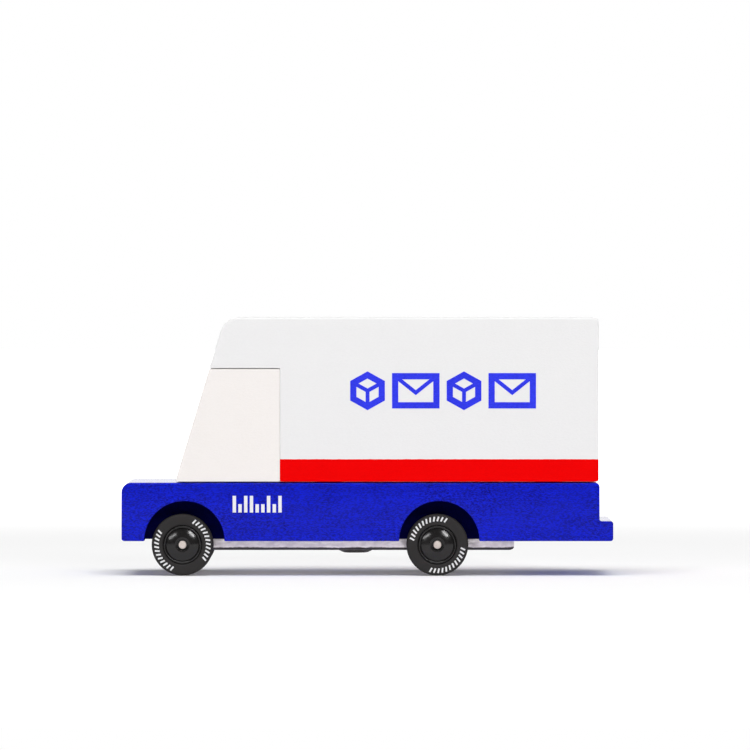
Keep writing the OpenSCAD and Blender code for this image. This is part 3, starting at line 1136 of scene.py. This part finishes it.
@dataclass
class Wheel:
    """A rubber tyre on a plastic rim, seen from its own side.

    Args:
        end: "front" or "rear".
        side: "left" or "right".
        mark_starts: angles at which the printed rows of dashes start, in degrees.
        segments: steps round the wheel.
    """

    end: str
    side: str
    mark_starts: tuple[float, float]
    segments: int = 128

    def __post_init__(self) -> None:
        """Works out the wheel's face from the frame."""
        self.name = f"{self.end}_{self.side}"
        sign = SIDES[self.side]
        low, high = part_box(f"{self.name}_tyre")
        centre = axle_centre(self.end)
        self.face = Face((centre.x, high.y if sign > 0 else low.y, centre.z), (-sign, 0, 0))
        self.radius, self.width = (high.x - low.x) / 2, high.y - low.y
        self.body = f"{self.end}_wheelset"

    def build(self) -> None:
        """Makes the tyre, the rim and the dashes."""
        self.turn("tyre", "rubber", self.tyre_section(), TYRE_RUBBER)
        self.turn("rim", "moulded", self.rim_section(), RIM_PLASTIC)
        self.build_dashes()

    def turn(self, part: str, made: str, section: Array, finish: Finish) -> None:
        """Turns a closed section about the axle.

        Args:
            part: what it stands for, "tyre" or "rim".
            made: end of the piece's name.
            section: (n, 2) radius and height, with the tyre's face at 0.
            finish: its finish.
        """
        shell = revolve(Shell(), self.face, section, self.segments, closed=True)
        node = f"{self.name}_{part}"
        dress(shell.build(f"{node}_{made}"), finish, self.body, node)

    def tyre_section(self) -> Array:
        """The tyre: flat sidewalls with rounded shoulders, and a slightly crowned tread."""
        inner, outer, width = 3.62 * MM, self.radius, self.width
        crown, lip, shoulder, tread = 0.05 * MM, 0.22 * MM, 0.42 * MM, 6 * MM
        return outline(
            [
                Corner(inner, -width, lip),
                Corner(outer - crown, -width, shoulder, steps=9),
                Corner(outer, -width * 0.62, tread, steps=5),
                Corner(outer, -width * 0.38, tread, steps=5),
                Corner(outer - crown, 0, shoulder, steps=9),
                Corner(inner, 0, lip),
            ]
        ).points

    def rim_section(self) -> Array:
        """The rim: recess, boss, domed hub, groove, bead, barrel and hollow back.

        The dome is part of a sphere through the boss's edge and the groove's inner edge. Its
        centre is (dome**2 - boss**2 + rise**2) / (2 rise) below the boss.
        """
        bore, recess, boss, dome, seat = (r * MM for r in (0.74, 1.12, 1.4, 3.0, 3.65))
        boss_h, recess_h, dome_h, groove_h = (-h * MM for h in (0.05, 1.3, 0.45, 0.62))
        tight, ease, back_ease = 0.03 * MM, 0.05 * MM, 0.1 * MM
        rise = boss_h - dome_h
        below = (dome**2 - boss**2 + rise**2) / (2 * rise)
        sphere = math.hypot(boss, below)
        spread = np.linspace(math.asin(boss / sphere), math.asin(dome / sphere), 20)[1:-1]
        bulge = zip(sphere * np.sin(spread), boss_h - below + sphere * np.cos(spread))
        ring, bead, bead_h = 3.3 * MM, 0.2 * MM, -0.3 * MM
        over = np.linspace(math.pi, 0, 13)
        beading = zip(ring + bead * np.cos(over), bead_h + bead * np.sin(over))
        back, inner_end = -(self.width - 0.3 * MM), -(self.width + 0.4 * MM)
        hub, hollow, floor, fillet = 1.6 * MM, 3.0 * MM, back + 2.4 * MM, 0.3 * MM
        section = [
            Corner(bore, recess_h),
            Corner(recess, recess_h, ease),
            Corner(recess, boss_h, ease),
            Corner(boss, boss_h, 0.04 * MM),
            *(Corner(r, h, steps=1) for r, h in bulge),
            Corner(dome, dome_h, ease),
            Corner(dome + 0.02 * MM, groove_h, tight),
            Corner(ring - bead, groove_h, tight),
            *(Corner(r, h, steps=1) for r, h in beading),
            Corner(ring + bead, groove_h, tight),
            Corner(seat, groove_h, tight),
            Corner(seat, back, back_ease),
            Corner(hollow, back, back_ease),
            Corner(hollow, floor, fillet),
            Corner(hub, floor, fillet),
            Corner(hub, inner_end, back_ease),
            Corner(bore, inner_end),
        ]
        return outline(section[::-1]).points

    def build_dashes(self) -> None:
        """Two printed rows of slanted dashes round the sidewall."""
        shell = Shell()
        count, pitch, middle = 12, math.radians(8.7), 4.74 * MM
        height, width, proud = 0.85 * MM, 0.30 * MM, 0.025 * MM
        lean = 0.30 * height
        for start in self.mark_starts:
            for i in range(count):
                angle = math.radians(start) - pitch * i
                out = np.array([math.cos(angle), math.sin(angle)])
                along = np.array([math.sin(angle), -math.cos(angle)])
                foot = out * (middle - height / 2) - along * lean / 2
                head = out * (middle + height / 2) + along * lean / 2
                lay_stroke(shell, self.face, np.array([foot, head]), width, proud)
        dress(shell.build(f"{self.name}_tyre_dashes"), TYRE_INK, self.body)


def build_axle(end: str, rounding: float = 0.16 * MM, segments: int = 64) -> None:
    """Turns the front or the rear axle about its own length.

    Args:
        end: "front" or "rear".
        rounding: rounding of its ends.
        segments: steps round it.
    """
    low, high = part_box(f"{end}_axle")
    profile = rod((high.z - low.z) / 2, (high.y - low.y) / 2, rounding)
    face = Face(tuple(axle_centre(end)), (-1, 0, 0))
    shell = revolve(Shell(), face, profile, segments, closed=False)
    dress(shell.build(f"{end}_axle_steel"), AXLE_STEEL, f"{end}_wheelset", f"{end}_axle")


# ---- Printed marks ----

def lay_stroke(
    shell: Shell, face: Face, path: Array, width: float, proud: float, closed: bool = False
) -> None:
    """Lays a flat band of ink along a path, with mitred corners, rooted below the face.

    Each side is the path moved along the mean of its two stretches' normals, by half the width
    over the cosine of half the turn.

    Args:
        shell: what the band is added to.
        face: the face it lies on.
        path: (n, 2) points along the band's middle.
        width: its width.
        proud: how far it stands out of the face.
        closed: the path's last point joins its first.
    """
    ahead = np.roll(path, -1, axis=0) - path
    if not closed:
        ahead[-1] = ahead[-2]
    ahead = ahead / np.linalg.norm(ahead, axis=1, keepdims=True)
    after = np.stack([-ahead[:, 1], ahead[:, 0]], axis=1)
    before = np.roll(after, 1, axis=0)
    if not closed:
        before[0] = after[0]
    mean = after + before
    mitre = mean * (width / np.sum(mean * mean, axis=1, keepdims=True))
    left, right = path + mitre, path - mitre
    ring = [
        face.place(side[:, 0], side[:, 1], np.array(height))
        for side, height in ((left, -INK_ROOT), (left, proud), (right, proud), (right, -INK_ROOT))
    ]
    band = np.stack(ring, axis=1)
    shell.grid(band if not closed else np.concatenate([band, band[:1]]), wrap_cols=True)
    if not closed:
        shell.cap(band[0])
        shell.cap(band[-1])


class Pictogram(Enum):
    """A pictogram's width, closed outer line and inner lines, from -1 to 1 across it.

    A parcel is a cube seen from a corner. An envelope's flap has its point below the middle.
    """

    PARCEL = (
        6.35 * MM,
        ((0, -1), (1, -0.5), (1, 0.5), (0, 1), (-1, 0.5), (-1, -0.5)),
        (((-1, 0.5), (0, 0), (1, 0.5)), ((0, 0), (0, -1))),
    )
    ENVELOPE = (
        8.7 * MM,
        ((-1, -0.92), (1, -0.92), (1, 0.92), (-1, 0.92)),
        (((-1, 0.92), (0, -0.12), (1, 0.92)),),
    )


@dataclass
class SideMarks:
    """What is printed on one side: a row of postal pictograms, and a row of bars on the body.

    Args:
        side: "left" or "right".
        row: the pictograms, from the front backwards.
        outer: width of the pictograms' outer lines.
        inner: width of their inner lines.
        layer: how much less proud each further line is.
        gap: gap between pictograms.
        height: their height.
        row_to_rear: from the row's middle to the box's rear.
        row_lift: height of the row above the box's middle.
        bars: height of each bar, as a share of the highest.
        bar_ends: where the bars start and end, from the body's front.
        bar_foot: height of the bars' feet above the body's bottom.
        bar_size: width of a bar, and height of the highest.
    """

    side: str
    row: tuple[Pictogram, ...] = (Pictogram.PARCEL, Pictogram.ENVELOPE) * 2
    outer: float = 1.15 * MM
    inner: float = 0.72 * MM
    layer: float = 0.002 * MM
    gap: float = 1.3 * MM
    height: float = 6.94 * MM
    row_to_rear: float = 28.45 * MM
    row_lift: float = 1.7 * MM
    bars: tuple[float, ...] = (1.0, 0.5, 1.0, 1.0, 0.5, 0.5, 1.0, 0.5, 1.0)
    bar_ends: tuple[float, float] = (20.34 * MM, 29.32 * MM)
    bar_foot: float = 5.25 * MM
    bar_size: tuple[float, float] = (0.62 * MM, 3.05 * MM)

    def __post_init__(self) -> None:
        """Works out the printed side's face from the frame."""
        self.sign = SIDES[self.side]
        self.low, self.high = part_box("cargo_box")
        side_y = self.high.y if self.sign > 0 else self.low.y
        self.face = Face((0, side_y, 0), (-self.sign, 0, 0))

    def build(self) -> None:
        """Prints the pictograms and the bars."""
        self.build_pictograms()
        self.build_bars()

    def build_pictograms(self) -> None:
        """Lays the pictograms out in a row, a little above the box's middle."""
        total = sum(kind.value[0] for kind in self.row) + self.gap * (len(self.row) - 1)
        x = self.high.x - self.row_to_rear - total / 2
        z = (self.low.z + self.high.z) / 2 + self.row_lift
        proud = INK_PROUD + self.layer
        shell = Shell()
        for kind in self.row:
            width, outer, inner = kind.value
            middle = np.array([-self.sign * (x + width / 2), z])
            half = np.array([width - self.outer, self.height - self.outer]) / 2
            path = middle + np.array(outer) * half
            lay_stroke(shell, self.face, path, self.outer, proud, closed=True)
            for i, line in enumerate(inner, 1):
                path = middle + np.array(line) * half
                lay_stroke(shell, self.face, path, self.inner, proud - i * self.layer)
            x += width + self.gap
        dress(shell.build(f"{self.side}_pictograms"), BLUE_INK, VAN_BODY)

    def build_bars(self) -> None:
        """Prints a row of bars, some of full height and some of half height."""
        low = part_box("lower_body")[0]
        width, full = self.bar_size
        first, last = (low.x + end for end in self.bar_ends)
        bottom = low.z + self.bar_foot
        places = np.linspace(first + width / 2, last - width / 2, len(self.bars))
        shell = Shell()
        for u, share in zip(-self.sign * places, self.bars):
            path = np.array([[u, bottom], [u, bottom + full * share]])
            lay_stroke(shell, self.face, path, width, INK_PROUD + self.layer)
        dress(shell.build(f"{self.side}_bars"), WHITE_INK, VAN_BODY)


@dataclass
class Lamps:
    """Printed lamps: two discs on the bonnet's front, two lights at the rear.

    Args:
        head_radius: radius of a headlamp.
        tail_size: width and height of a rear light.
        spread: distance of a lamp from the middle.
        head_lift: height of the headlamps above the body's middle.
        tail_lift: height of the rear lights above the headlamps.
    """

    head_radius: float = 1.9 * MM
    tail_size: tuple[float, float] = (2.4 * MM, 1.6 * MM)
    spread: float = 12.6 * MM
    head_lift: float = 0.6 * MM
    tail_lift: float = 1.2 * MM

    def build(self) -> None:
        """Prints the lamps."""
        low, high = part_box("lower_body")
        heads, tails = Shell(), Shell()
        z = (low.z + high.z) / 2 + self.head_lift
        rear_x = high.x - STEP_LENGTH
        radius = self.head_radius
        disc = np.array([[0, -INK_ROOT], [radius, -INK_ROOT], [radius, INK_PROUD], [0, INK_PROUD]])
        width, height = self.tail_size
        path = np.array([[-width / 2, 0], [width / 2, 0]])
        for y in (-self.spread, self.spread):
            revolve(heads, Face((low.x, y, z), (0, -1, 0)), disc, 64, closed=False)
            face = Face((rear_x, y, z + self.tail_lift), (0, 1, 0))
            lay_stroke(tails, face, path, height, INK_PROUD)
        dress(heads.build("headlamps"), LAMP_INK, VAN_BODY)
        dress(tails.build("tail_lamps"), RED_INK, VAN_BODY)


# ---- The studio ----


def add_to_scene(name: str, data: bpy.types.ID) -> bpy.types.Object:
    """A new object in the scene, for a mesh, a camera or a light."""
    made = bpy.data.objects.new(name, data)
    bpy.context.scene.collection.objects.link(made)
    return made


@dataclass(frozen=True)
class Softbox:
    """A rectangular lamp aimed at the van.

    Args:
        name: its name.
        place: where it stands.
        size: its width and height.
        power: its power in watts.
        roll: how far it is turned about its aim, in degrees.
    """

    name: str
    place: Point
    size: tuple[float, float]
    power: float
    roll: float = 0.0

    def build(self) -> None:
        """Adds the lamp."""
        data = bpy.data.lights.new(self.name, "AREA")
        data.shape = "RECTANGLE"
        data.size, data.size_y = self.size
        data.energy = self.power
        lamp = add_to_scene(self.name, data)
        lamp.location = self.place
        aim = Vector(LAMP_AIM) - Vector(self.place)
        turn = aim.to_track_quat("-Z", "Y")
        turn.rotate(Quaternion(aim.normalized(), math.radians(self.roll)))
        lamp.rotation_mode = "QUATERNION"
        lamp.rotation_quaternion = turn


LAMP_AIM = (0, 0, 0.02)
SOFTBOXES = (
    Softbox("top_softbox", (0.0, -0.75, 2.2), (2.0, 1.5), 45.0),
    Softbox("left_softbox", (-0.9453, -1.9711, 0.713), (0.75, 0.16), 4.0, -37),
    Softbox("right_softbox", (0.7452, -1.9711, 0.92), (0.65, 0.16), 9.2, 51),
)
WHITE = (1.0, 1.0, 1.0)
DIM_ROOM = (0.22, 0.22, 0.22)
FLOOR_X, FLOOR_Y = (-3, 3), (-0.64, 5)
FLOOR_PAINT = (0.87, 0.87, 0.87)
FLOOR_GLOW = (0.05, 0.05, 0.05)


@dataclass
class Studio:
    """A pale floor, softboxes and a camera square to the van's left side.

    Args:
        distance: from the van's left side to the camera.
        eye: the camera's height.
        frame_width: width that the picture takes in at the van's side.
        aim_x: X at the picture's middle.
        aim_z: height at the picture's middle.
        sensor: width of the camera's sensor, in millimetres.
    """

    distance: float = 1.9
    eye: float = 57 * MM
    frame_width: float = 137.2 * MM
    aim_x: float = 1.39 * MM
    aim_z: float = 36.76 * MM
    sensor: float = 36.0

    def build(self) -> None:
        """Makes the camera, the floor, the world and the lights."""
        self.build_camera()
        self.build_floor()
        self.build_world()
        for softbox in SOFTBOXES:
            softbox.build()

    def build_camera(self) -> None:
        """A long lens a little above the van, tilted down so that it looks at the aim."""
        data = bpy.data.cameras.new("camera")
        data.sensor_width = self.sensor
        data.lens = self.sensor * self.distance / self.frame_width
        data.clip_end = 100
        camera = add_to_scene("camera", data)
        camera.location = (self.aim_x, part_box("lower_body")[0].y - self.distance, self.eye)
        tilt = math.atan((self.eye - self.aim_z) / self.distance)
        camera.rotation_euler = (math.pi / 2 - tilt, 0, 0)
        bpy.context.scene.camera = camera

    def build_floor(self) -> None:
        """A white floor, which glows away from the van so that it fades into the backdrop."""
        shell = Shell()
        x, y = np.meshgrid(np.linspace(*FLOOR_X, 9), np.linspace(*FLOOR_Y, 9))
        shell.grid(np.stack([x, y, 0 * x], axis=-1))
        floor = shell.build("floor")
        material = bpy.data.materials.new("white_floor")
        shader = Shader(material)
        far = shader.step(shader.length(shader.own((MM, MM, MM))), 0.2, 0.9)
        shader.surface(
            {
                "Base Color": FLOOR_PAINT,
                "Roughness": 0.9,
                "Emission Color": shader.blend(far, FLOOR_GLOW, WHITE),
                "Emission Strength": 1.0,
                "Specular IOR Level": 0.1,
            }
        )
        floor.data.materials.append(material)

    def build_world(self) -> None:
        """White where the camera looks, and a dim room elsewhere, brighter behind the van."""
        world = bpy.data.worlds.new("studio")
        bpy.context.scene.world = world
        shader = Shader(world)
        way = shader.node("ShaderNodeTexCoord", {}, {}, "Generated")
        behind = shader.step(shader.axis(way, "Y"), 0.0, 0.5)
        low = shader.step(shader.axis(way, "Z"), 0.75, 0.35)
        seen = shader.node("ShaderNodeLightPath", {}, {}, "Is Camera Ray")
        colour = shader.blend(seen, shader.blend(behind * low, DIM_ROOM, WHITE), WHITE)
        light = shader.node("ShaderNodeBackground", {}, {"Color": colour, "Strength": 1.0})
        shader.node("ShaderNodeOutputWorld", {}, {"Surface": light})


def white_paint() -> PaintedWood:
    """The cargo box's white paint, with the red band along its foot."""
    band = Band(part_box("cargo_box")[0].z + BAND_HEIGHT, RED)
    white, shade = (0.826, 0.822, 0.823), (0.77, 0.765, 0.77)
    return PaintedWood("white_paint", "white_painted_wood", white, shade, band=band)


def blue_paint() -> PaintedWood:
    """The lower body's blue paint, with painted shade that darkens it in the wheel pockets."""
    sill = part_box("lower_body")[0].z
    middles = [(axle_centre(end).x + ARCH_OFFSET, 0.0, sill) for end in ENDS]
    return PaintedWood(
        "blue_paint", "blue_painted_wood", (0.001, 0.0115, 0.70), (0.0, 0.001, 0.17),
        pores=1.0, relief=0.06 * MM, roughness=0.45, shine=0.04, varnish=1.0,
        shaded_pockets=tuple((middle, ARCH_RADIUS) for middle in middles),
    )


def main() -> None:
    """Builds the van and its studio."""
    logging.basicConfig(level=logging.INFO, format="%(message)s")
    bpy.context.scene.view_settings.view_transform = "Standard"
    Studio().build()
    LowerBody("lower_body", blue_paint()).build()
    CargoBox("cargo_box", white_paint()).build()
    WindowBlock().build()
    for node in ("front_dowel", "rear_dowel", "cab_dowel"):
        dress(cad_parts[node], BEECH, VAN_BODY)
    BasePlate().build()
    for node in ("plate_front_screw", "plate_middle_screw", "plate_rear_screw"):
        Screw(node).build()
    for end, starts in zip(ENDS, ((63, 246), (167, -9))):
        build_axle(end)
        for side in SIDES:
            Wheel(end, side, starts).build()
    for side in SIDES:
        SideMarks(side).build()
    Lamps().build()


if __name__ == "__main__":
    main()
